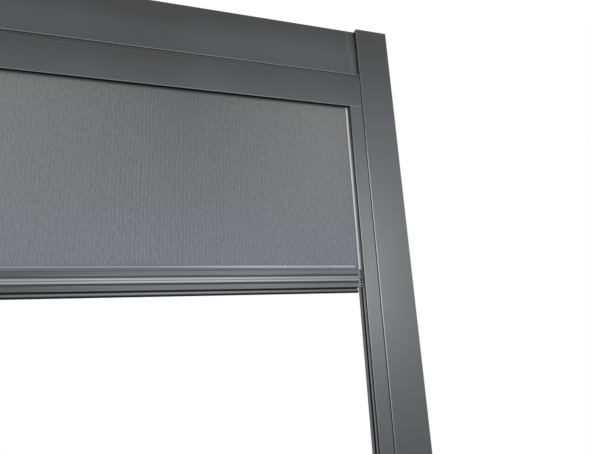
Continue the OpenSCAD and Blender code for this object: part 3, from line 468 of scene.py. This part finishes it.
dress(black_flock_and_shade, "slot_strip")
brush_low, brush_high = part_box("slot_brush")
brush_mid = (brush_low.z + brush_high.z) / 2
fold_d = 0.003
mouth_half = 0.0008
crimp_half = 0.0006
crimp_depth = 0.0012
strand_pitch = 0.0011
strand_d = 0.00035
strand_row = 0.0005
root_depth = 0.0011
short_by = 0.0009
stray_aside = 0.0008
stray_down, stray_up = 0.0006, 0.0005
random.seed(11)
brush = bmesh.new()
fold_front = brush_high.y - fold_d
fold_crimp = fold_front + crimp_depth
fold = [(brush_high.y, brush_low.z), (brush_high.y, brush_high.z), (fold_front, brush_high.z),
        (fold_front, brush_mid + mouth_half), (fold_crimp, brush_mid + crimp_half),
        (fold_crimp, brush_mid - crimp_half), (fold_front, brush_mid - mouth_half), (fold_front, brush_low.z)]
strip_ends = skin(brush, [[(x, y, z) for y, z in fold] for x in (brush_low.x, brush_high.x)])
for end in strip_ends:
    brush.faces.new(end)
strand_corners = [Vector((math.cos(a), 0, math.sin(a))) * strand_d / 2 for a in (0.5, 2.6, 4.7)]
strand_x = brush_low.x + strand_pitch
while strand_x < brush_high.x - strand_pitch:
    for row in (-strand_row, strand_row):
        root_x = strand_x + random.uniform(-0.4, 0.4) * strand_pitch
        root = Vector((root_x, fold_front + root_depth, brush_mid + row))
        tip_y = brush_low.y + random.uniform(0.0, short_by)
        tip_x = root.x + random.uniform(-stray_aside, stray_aside)
        tip = Vector((tip_x, tip_y, root.z + random.uniform(-stray_down, stray_up)))
        skin(brush, [[root + c for c in strand_corners], [tip + 0.6 * c for c in strand_corners]])
    strand_x += strand_pitch
slot_bristles = build("slot_bristles", brush, black_nylon)
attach(slot_bristles, "frame")
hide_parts("slot_brush")


# Cable grommet and gap strips: soft black rubber, moulded as a ring that is snapped into the right end
# plate, and drawn as strips that are pressed between each guide rail and its post.

@finish
def black_rubber(start):
    bloom = cloud(start, (90, 90, 90), 4.0)
    skin_marks = cloud(start, (1300, 1300, 1300))
    return {
        "Base Color": mixed(bloom, tone(30, 31, 32), tone(52, 53, 54)),
        "Roughness": between(bloom, 0.25, 0.75, 0.6, 0.8),
        "Normal": relief(skin_marks, 0.0001, 0.4),
    }


dress(black_rubber, "cable_grommet", "guide_gaskets")


# Roller: a drawn aluminium tube with a key inside, left as it comes from the die, on a moulded
# plug with a steel pin in a ball bearing at one end and the motor's crown at the other.

@finish
def drawn_aluminium(start):
    die_lines = cloud(start, (4, 900, 900), 3.0)
    oxide = cloud(start, (30, 30, 30), 4.0)
    return {
        "Base Color": mixed(oxide, tone(186, 188, 190), tone(212, 213, 214)),
        "Metallic": 1.0,
        "Roughness": between(die_lines, 0.2, 0.8, 0.28, 0.46),
        "Normal": relief(die_lines, 0.00006, 0.5),
    }


@finish
def black_plastic(start):
    moulded = cells(start, 1400)
    wear = cloud(start, (35, 35, 35), 4.0)
    edges = sharp_edges(start, 0.0008)
    body = mixed(wear, tone(30, 31, 32), tone(44, 45, 47))
    return {
        "Base Color": mixed(edges * 0.4, body, tone(96, 97, 99)),
        "Roughness": between(wear, 0.25, 0.75, 0.4, 0.58),
        "Normal": relief(moulded, 0.00008, 0.5),
    }


@finish
def pale_plastic(start):
    moulded = cells(start, 1400)
    ageing = cloud(start, (30, 30, 30), 3.0)
    return {
        "Base Color": mixed(ageing, tone(198, 197, 188), tone(218, 217, 210)),
        "Roughness": between(ageing, 0.25, 0.75, 0.4, 0.54),
        "Normal": relief(moulded, 0.00006, 0.4),
    }


dress(drawn_aluminium, "roller_tube", "capacitor")
dress(black_plastic, "idler_plug", "drive_wheel")
dress(pale_plastic, "limit_crown", "limit_unit")
dress(bright_steel, "idler_pin", "idler_bearing", "drive_shaft", "drive_clip")

bracket_low, bracket_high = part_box("bracket_screws")
bracket_d = 0.009
bracket_h = 0.003
bracket_cross = 0.0048
bracket_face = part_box("motor_bracket")[0].x
screws("bracket_screw_heads", "bracket_screws", [
    ((side * bracket_face, y, z), (-side, 0, 0), bracket_d, bracket_h, cross_slot, bracket_cross)
    for side in (-1, 1)
    for y in (bracket_low.y + bracket_d / 2, bracket_high.y - bracket_d / 2)
    for z in (bracket_low.z + bracket_d / 2, bracket_high.z - bracket_d / 2)])


# Motor: a head that sits in its bracket and carries the two limit buttons, then a steel tube with
# the limit switches, capacitor, brake, winding, rotor and gearbox in a row inside it.

@finish
def copper_winding(start):
    wires = cloud(start, (5, 1600, 1600))
    return {
        "Base Color": mixed(wires, tone(138, 78, 44), tone(196, 122, 74)),
        "Metallic": 0.9,
        "Roughness": between(wires, 0.2, 0.8, 0.3, 0.5),
        "Normal": relief(wires, 0.0002, 0.6),
    }


@finish
def sintered_gears(start):
    pores = cells(start, 900)
    oil = cloud(start, (50, 50, 50), 3.0)
    return {
        "Base Color": mixed(oil, tone(112, 113, 116), tone(142, 143, 145)),
        "Metallic": 1.0,
        "Roughness": between(oil, 0.25, 0.75, 0.36, 0.58),
        "Normal": relief(pores, 0.0001, 0.5),
    }


def button_finish(name, low, high):
    """Glossy plastic that goes from one colour to another where fingers have soiled it."""
    def sockets_of(start):
        grime_and_shade = cloud(start, (300, 300, 300), 3.0)
        return {
            "Base Color": mixed(grime_and_shade, tone(*low), tone(*high)),
            "Roughness": between(grime_and_shade, 0.3, 0.7, 0.26, 0.4),
            "Coat Weight": 0.2,
        }

    sockets_of.__name__ = name
    return finish(sockets_of)


dress(black_plastic, "motor_head")
dress(zinc_plate, "motor_tube")
dress(bright_steel, "motor_rotor", "motor_brake")
dress(copper_winding, "motor_stator")
dress(sintered_gears, "gearbox")
dress(button_finish("white_button", (206, 206, 202), (226, 226, 222)), "up_limit_button")
dress(button_finish("yellow_button", (214, 168, 36), (232, 190, 52)), "down_limit_button")


# Guide rails: two extrusions beside the posts, each with a front cover that snaps on and leaves a
# thin joint, a plastic zip channel in its mouth on foam strips, a funnel on top and a foot below.

@finish
def closed_foam(start):
    bubbles = cells(start, 1600)
    return {
        "Base Color": mixed(bubbles, tone(34, 34, 36), tone(66, 66, 68)),
        "Roughness": 0.9,
        "Normal": relief(bubbles, 0.0003, 0.8),
    }


@finish
def channel_black_and_shade(start):
    drawn = cloud(start, (900, 900, 5))
    # Near black and dull: black plastic, made darker so that it also stands for the shade in the rail's
    # mouth.
    return {
        "Base Color": mixed(drawn, tone(8, 8, 9), tone(22, 22, 23)),
        "Roughness": between(drawn, 0.2, 0.8, 0.55, 0.7),
        "Specular IOR Level": 0.2,
    }


rail_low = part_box("right_guide")[0]
rail_lip = 0.0006
rail_lip_depth = 0.0155
rail_joint, rail_joint_end = 0.008, 0.0095
rail_cover_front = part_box("right_guide_cover")[0].y
rail_cover_seen = 0.0012


@finish
def rail_coat(start):
    up = along(start, "Z")
    # Darker below 1.7 m; a painted highlight on the front lip beside the mouth, and painted shade, near
    # black, in the joint behind the cover.
    sockets = satin_coat(start, 0.1, between(up, 1.2, 1.7, 0.05, 0.5))
    behind_front = along(start, "Y") - rail_low.y
    on_lip = (distance(along(start, "X"), 0.0) < rail_low.x + rail_lip) * (behind_front < rail_lip_depth)
    highlighted = mixed(on_lip * highlight_on_uprights(up) * 0.8, sockets["Base Color"], tone(180, 182, 184))
    in_joint = between(behind_front, rail_joint_end, rail_joint)
    sockets["Base Color"] = mixed(in_joint, highlighted, shade_black)
    return sockets


@finish
def rail_cover_coat(start):
    up = along(start, "Z")
    # Painted highlight on the edges and painted light and shade up the cover, as on the posts, and painted
    # shade, near black, on its sides behind the front.
    sockets = satin_coat(start, highlight_on_uprights(up), painted_light_on_uprights(up) + 0.12)
    in_joint = along(start, "Y") > rail_cover_front + rail_cover_seen
    sockets["Base Color"] = mixed(in_joint, sockets["Base Color"], shade_black)
    return sockets


dress(rail_coat, "left_guide", "right_guide")
dress(rail_cover_coat, "left_guide_cover", "right_guide_cover")
dress(channel_black_and_shade, "left_zip_insert", "right_zip_insert")
dress(black_plastic, "guide_funnels", "guide_feet")
dress(closed_foam, "insert_cushions")
dress(bright_steel, "guide_screws")


# Screen: glass-fibre cloth coated with vinyl and woven open, with its yarns upright. It runs off the
# front of the roll, is held taut by the zips at its sides and the bar's weight, and ends in the hem.

def woven_cloth(start):
    """The sockets of the cloth, paler and bluer towards the foot, which is partly its own colour and partly
    painted light, and with painted shade darkening the middle of the top.
    """
    yarn_pitch = 0.0009
    stripe_pitch = 0.0108
    turns = 2 * math.pi / yarn_pitch
    across, up = along(start, "X"), along(start, "Z")
    weave = across.maths("SINE", across * turns) * up.maths("SINE", up * turns)
    yarns = cloud(start, (330, 330, 1.3), 3.0)
    streaks = cloud(start, (280, 280, 60), 1.0)
    wander = cloud(start, (30, 30, 20), 1.0)
    stripes = across.maths("SINE", across * (2 * math.pi / stripe_pitch) + 7 * wander)
    off_middle = distance(across, 0.0)
    taut = between(off_middle, 0.12, 0.3, 0.17, 0.08)
    shade = between(yarns * 0.2 + streaks * 0.8, 0.2, 0.8) + taut * stripes
    # Painted shade darkens the middle of the top; the lower tones are partly the cloth's own colour and
    # partly painted light.
    paler_share = between(up + 0.1 * streaks, 2.3, 1.8)
    painted_top_shade = between(off_middle, 0.0, 0.45, -0.42, 0.18)
    upper = mixed(shade + painted_top_shade, tone(89, 92, 92), tone(115, 118, 117))
    lower = mixed(shade, tone(94, 96, 101), tone(121, 124, 129))
    return {
        "Base Color": mixed(paler_share, upper, lower),
        "Roughness": between(weave, -1.0, 1.0, 0.68, 0.8),
        "Normal": relief(weave + 0.6 * yarns, 0.0002, 0.4),
        "Specular IOR Level": 0.3,
        "Sheen Weight": 0.1,
    }


@finish
def screen_cloth(start):
    return woven_cloth(start)


cloth_low, cloth_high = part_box("screen_fabric")
cloth_back = cloth_high.y
cloth_half = cloth_high.x
hem_low, hem_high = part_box("hem_keder")
hem_d = 0.0105
hem_mid = hem_high.z - hem_d / 2
notch_gap = 0.0004
notch = hem_high.x + notch_gap
outline = [(-cloth_half, cloth_high.z), (-cloth_half, cloth_low.z), (-notch, cloth_low.z), (-notch, hem_mid),
           (notch, hem_mid), (notch, cloth_low.z), (cloth_half, cloth_low.z), (cloth_half, cloth_high.z)]
cloth = bmesh.new()
for face in skin(cloth, [[(x, y, z) for x, z in outline] for y in (cloth_low.y, cloth_back)]):
    cloth.faces.new(face)
screen = build("screen_cloth", cloth, screen_cloth)
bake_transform(screen)
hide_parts("screen_fabric")


# Zips: half a zip along each edge of the cloth, a pale woven tape that is welded on and a nylon coil that
# runs behind the lips of the rail's channel.

@finish
def zip_tape(start):
    ribs = cloud(start, (200, 200, 1100))
    grime_and_shade = cloud(start, (20, 20, 9), 4.0)
    return {
        "Base Color": mixed(grime_and_shade, tone(218, 220, 218), tone(240, 241, 238)),
        "Roughness": between(grime_and_shade, 0.25, 0.75, 0.45, 0.65),
        "Normal": relief(ribs, 0.0003, 0.7),
    }


def zip_half(side):
    """Tape and coil of one side, drawn round its section and run from the hem to the roll."""
    low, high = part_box("right_zip")
    coil_r = (high.y - low.y) / 2
    coil_x, coil_y = high.x - coil_r, (high.y + low.y) / 2
    tape = 0.0007
    tape_back = cloth_low.y
    tape_front = tape_back - tape
    leave = math.asin((coil_y - tape_front) / coil_r)
    join = math.asin((coil_y - tape_back) / coil_r)
    section = [(low.x, tape_back), (low.x, tape_front)]
    steps = 20
    for i in range(steps + 1):
        angle = math.pi + leave + (2 * math.pi - leave + join) * i / steps
        section.append((coil_x + coil_r * math.cos(angle), coil_y + coil_r * math.sin(angle)))
    shape = bmesh.new()
    ends = skin(shape, [[(side * x, y, z) for x, y in section] for z in (low.z, high.z)])
    for end in ends:
        shape.faces.new(end)
    return shape


for side, node in ((-1, "left_zip"), (1, "right_zip")):
    made = build(node + "_band", zip_half(side), zip_tape)
    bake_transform(made)
    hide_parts(node)


# Hem: the cloth's foot wrapped round a cord and welded, in a smoother and paler strip than the
# screen. Its tail is a second bead that slides into the bar's groove.

hem_joints = (0.063, 0.3)
hem_last_piece = 0.448
glue_aside = 0.002


@finish
def hem_strip(start):
    welded = cloud(start, (25, 700, 700), 3.0)
    wear = cloud(start, (14, 60, 60), 4.0)
    across = along(start, "X")
    paler_share = between(across, -0.07, 0.2) - between(across, 0.25, hem_last_piece, 0.0, 0.32)
    shade = paler_share + 0.3 * (across > hem_last_piece) + between(wear, 0.3, 0.7, -0.12, 0.12)
    strip = mixed(shade, tone(109, 113, 120), tone(140, 144, 148))
    cut = between(distance(across, hem_last_piece), 0.0008, 0.002, 0.6, 0.0)
    glue = between(distance(across, hem_joints[1] + glue_aside), 0.001, 0.003, 0.8, 0.0)
    return {
        "Base Color": mixed(glue, mixed(cut, strip, tone(84, 87, 90)), tone(180, 183, 185)),
        "Roughness": between(wear, 0.25, 0.75, 0.36, 0.5),
        "Normal": relief(welded, 0.00015, 0.5),
    }


hem_y = (hem_low.y + hem_high.y) / 2
neck_half = 0.0015
tail_r = 0.0035
tail_mid = hem_low.z + tail_r


def hem_section(swell):
    """Round the hem from its neck over the top, down the neck and round the tail."""
    points = []
    bead_r = hem_d / 2 * swell
    opening = math.asin(neck_half / bead_r)
    steps = 28
    squarer, slimmer = 0.7, 0.85
    for i in range(steps + 1):
        angle = -math.pi / 2 + opening + (2 * math.pi - 2 * opening) * i / steps
        round_parts = (math.cos(angle), math.sin(angle))
        aside, above = (math.copysign(abs(part) ** squarer, part) for part in round_parts)
        points.append((hem_y + slimmer * bead_r * aside, hem_mid + bead_r * above))
    opening = math.asin(neck_half / tail_r)
    for i in range(steps // 2 + 1):
        angle = math.pi / 2 + opening + (2 * math.pi - 2 * opening) * i / (steps // 2)
        points.append((hem_y + tail_r * math.cos(angle), tail_mid + tail_r * math.sin(angle)))
    return points


random.seed(23)
ring_count = 90
pinched = 0.9
pinch = 0.0006
hem_swells = {hem_low.x: pinched, hem_high.x: pinched}
for i in range(1, ring_count):
    hem_swells[hem_low.x + (hem_high.x - hem_low.x) * i / ring_count] = random.uniform(0.985, 1.0)
for x in hem_joints:
    hem_swells.update({x - 2 * pinch: 1.0, x - pinch: pinched, x: pinched, x + pinch: 1.0})
hem = bmesh.new()
hem_rings = skin(hem, [[(x, y, z) for y, z in hem_section(hem_swells[x])] for x in sorted(hem_swells)])
for ring in (hem_rings[0], hem_rings[-1]):
    hem.faces.new(ring)
hem_bead = build("hem_bead", hem, hem_strip, 50)
hem_bead.data.materials.append(screen_cloth)
for face in hem_bead.data.polygons:
    face.material_index = int(face.center.z < hem_mid - 0.4 * hem_d)
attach(hem_bead, "bar")
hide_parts("hem_keder")


# Roll: the rest of the cloth, wound tightly on the tube in nine turns, with its layers showing at
# both ends. Its outermost turn leaves the roll at the front, where the screen starts. The zips' tapes
# are wound in with it.

tape_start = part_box("right_zip")[0].x


@finish
def wound_cloth(start):
    sockets = woven_cloth(start)
    on_tape = distance(along(start, "X"), 0.0) > tape_start
    sockets["Base Color"] = mixed(on_tape, sockets["Base Color"], tone(226, 228, 225))
    return sockets


roll_low, roll_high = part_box("fabric_roll")
roll_turns = 9
roll_r = (roll_high.z - roll_low.z) / 2
roll_y, roll_z = (roll_low.y + roll_high.y) / 2, (roll_low.z + roll_high.z) / 2
layer = 0.0006
core_r = roll_r - roll_turns * layer
steps_round = 60
turn_rings = []
for i in range(roll_turns * steps_round + 1):
    turn = i / steps_round
    angle = math.pi - 2 * math.pi * (turn - roll_turns)
    outer = core_r + layer * turn
    inner = outer - 0.8 * layer
    corners = ((roll_low.x, outer), (roll_high.x, outer), (roll_high.x, inner), (roll_low.x, inner))
    turn_rings.append([(x, roll_y + radius * math.cos(angle), roll_z + radius * math.sin(angle))
                       for x, radius in corners])
wound = bmesh.new()
wound_rings = skin(wound, turn_rings)
for ring in (wound_rings[0], wound_rings[-1]):
    wound.faces.new(ring)
cloth_roll = build("cloth_roll", wound, wound_cloth)
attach(cloth_roll, "roller")
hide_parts("fabric_roll")


# Bottom bar: an extrusion with two flat bands on each face and a recess between them, into which a
# light grey vinyl strip with two ridges is pressed. A flat steel inside gives weight, moulded end caps
# have tongues that run in the rails, and a hollow rubber bead hangs below on a black rubber neck that
# is painted near black as shade.

bar_low, bar_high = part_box("bottom_bar")
bar_half = (bar_high.y - bar_low.y) / 2
bar_mid = (bar_low + bar_high) / 2
recess_from, recess_floor = 0.0014, 0.0034
shade_above, shade_below = 0.0013, 0.0007


def depth_in_bar(start):
    """How far a point lies behind the bar's front and back faces, in metres."""
    return bar_half - distance(along(start, "Y"), bar_mid.y)


@finish
def bar_coat(start):
    up = along(start, "Z")
    to_middle = between(distance(along(start, "X"), 0.0), 0.4, 0.1)
    # Painted light and a painted highlight on the edges grow towards the middle, with a painted sky-lit tint
    # on the faces; painted shade darkens the recess, and the top under the hem and the underside are painted
    # near black as shade.
    sockets = satin_coat(start, 0.1 + 0.9 * to_middle, 0.34 + 0.12 * to_middle)
    on_faces = 1 - sharp_edges(start, coat_edge)
    skylit = mixed(to_middle * on_faces * 0.7, sockets["Base Color"], tone(46, 52, 63))
    shaded = between(depth_in_bar(start), recess_from, recess_floor)
    grime_and_shade = mixed(up > bar_mid.z, tone(40, 41, 42), tone(60, 61, 62))
    under_hem = up > bar_high.z - shade_above
    below = up < bar_low.z + shade_below
    sockets["Base Color"] = mixed(under_hem + below, mixed(shaded, skylit, grime_and_shade), shade_black)
    sockets["Roughness"] = sockets["Roughness"] + 0.08 + shaded * 0.3 + 0.4 * under_hem
    sockets["Specular IOR Level"] = 0.58
    return sockets


valley_from, valley_floor = -0.0003, 0.0016


@finish
def strip_vinyl(start):
    drawn = cloud(start, (6, 900, 900), 3.0)
    dust = cloud(start, (12, 40, 300), 4.0)
    # Painted shade darkens the valley between the ridges, and painted light makes the strip paler towards the
    # middle.
    shaded = between(depth_in_bar(start), valley_from, valley_floor, 0.0, 0.75)
    paler_share = between(distance(along(start, "X"), 0.0), 0.5, 0.1)
    vinyl = mixed(paler_share + 0.3 * dust, tone(123, 125, 128), tone(157, 161, 165))
    return {
        "Base Color": mixed(shaded, vinyl, tone(60, 61, 62)),
        "Roughness": between(drawn, 0.2, 0.8, 0.4, 0.55),
        "Normal": relief(drawn, 0.00006, 0.4),
    }


caps_low, caps_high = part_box("bar_end_caps")
tongue = 0.0135
window_half = 0.0047
rungs_from, rungs_full = 0.026, 0.006


@finish
def grey_plastic(start):
    moulded = cells(start, 1400)
    wear = cloud(start, (60, 60, 60), 4.0)
    body = mixed(wear, tone(84, 86, 88), tone(98, 100, 102))
    worn_and_lit = mixed(sharp_edges(start, 0.0008) * 0.6, body, tone(150, 152, 153))
    on_tongue = distance(along(start, "X"), 0.0) > caps_high.x - tongue
    # Painted shade, near black, in the windows of the tongues, and a painted highlight on the tongues,
    # strongest near their foot.
    in_windows = on_tongue * (distance(along(start, "Y"), (caps_low.y + caps_high.y) / 2) < window_half)
    above_foot = along(start, "Z") - caps_low.z
    lit_rungs = on_tongue * between(above_foot, rungs_from, rungs_full, 0.0, 0.7)
    return {
        "Base Color": mixed(in_windows, mixed(lit_rungs, worn_and_lit, tone(190, 192, 193)), shade_black),
        "Roughness": between(wear, 0.25, 0.75, 0.42, 0.58),
        "Normal": relief(moulded, 0.00008, 0.5),
    }


seal_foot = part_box("bar_seal")[0].z
bulb_h = 0.012
shade_top, lit_from = 0.0045, 0.0085


@finish
def seal_rubber(start):
    bloom = cloud(start, (40, 90, 90), 4.0)
    above_foot = along(start, "Z") - seal_foot
    # Painted shade darkens the bulb's underside, painted light makes the bulb paler towards the middle, and
    # the neck above the bulb is black rubber painted near black as shade.
    lit_share = between(above_foot, shade_top, lit_from)
    to_middle = between(distance(along(start, "X"), 0.0), 0.45, 0.1)
    worn_and_lit = mixed(0.4 * bloom + 0.6 * to_middle, tone(104, 106, 109), tone(150, 152, 155))
    return {
        "Base Color": mixed(above_foot > bulb_h, mixed(lit_share, tone(14, 14, 15), worn_and_lit), shade_black),
        "Roughness": between(bloom, 0.25, 0.75, 0.55, 0.75),
        "Specular IOR Level": 0.2,
        "Normal": relief(cloud(start, (300, 1300, 1300)), 0.0001, 0.4),
    }


dress(bar_coat, "bottom_bar")
dress(strip_vinyl, "bar_strips")
dress(grey_plastic, "bar_end_caps")
dress(seal_rubber, "bar_seal")
dress(bright_steel, "bar_weight")


# Studio: a pale floor under the posts and a white backdrop that gives a weak fill from all round. A wide
# soft lamp stands in front of the bay a little above eye level, a narrower one at the left and another
# wide one behind.

@finish
def pale_floor(start):
    mottle = cloud(start, (6, 6, 6), 5.0)
    return {
        "Base Color": mixed(mottle, tone(226, 226, 225), tone(234, 234, 233)),
        "Roughness": 0.85,
    }


floor_half = 3.2
floor_drop = 0.0005
floor_shape = bmesh.new()
bmesh.ops.create_grid(floor_shape, x_segments=8, y_segments=8, size=floor_half)
floor = build("floor", floor_shape, pale_floor)
floor.location.z = -floor_drop

scene = bpy.context.scene
scene.view_settings.view_transform = "Standard"
scene.world = bpy.data.worlds.new("backdrop")
scene.world.use_nodes = True
sky = Wire(scene.world.node_tree)
ray_kinds = ("Is Camera Ray", "Is Glossy Ray", "Is Transmission Ray")
seen = sum(sky.node("LightPath", out=kind) for kind in ray_kinds)
fill = 0.2
background = sky.tree.nodes["Background"]
background.inputs["Color"].default_value = (1, 1, 1, 1)
sky.tree.links.new(between(seen, 0, 1, fill, 1.0).socket, background.inputs["Strength"])


def soft_lamp(name, place, target, width, height, watts):
    lamp = bpy.data.lights.new(name, "AREA")
    lamp.shape, lamp.size, lamp.size_y, lamp.energy = "RECTANGLE", width, height, watts
    made = bpy.data.objects.new(name, lamp)
    made.location = place
    made.rotation_euler = (Vector(target) - Vector(place)).to_track_quat("-Z", "Y").to_euler()
    scene.collection.objects.link(made)


soft_lamp("front_lamp", (0.8, -2.95, 2.1), (0.5, 0.0, 1.75), 2.7, 1.5, 76)
soft_lamp("left_lamp", (-2.06, -1.47, 1.3), (0.4, 0.0, 1.5), 0.5, 1.8, 25)
soft_lamp("back_lamp", (2.0, 2.6, 2.1), (0.0, 0.0, 1.5), 2.7, 1.5, 80)

eye = bpy.data.cameras.new("eye")
eye.sensor_fit, eye.sensor_width, eye.lens = "HORIZONTAL", 36.0, 28.16
camera = bpy.data.objects.new("eye", eye)
stand = Vector((-0.07806, -1.35358, 1.52458))
right = Vector((0.95577, -0.28978, -0.05032))
above = Vector((-0.02371, -0.24645, 0.96886))
turned = Matrix((right, above, right.cross(above))).transposed()
camera.matrix_world = Matrix.Translation(stand) @ turned.to_4x4()
scene.collection.objects.link(camera)
scene.camera = camera
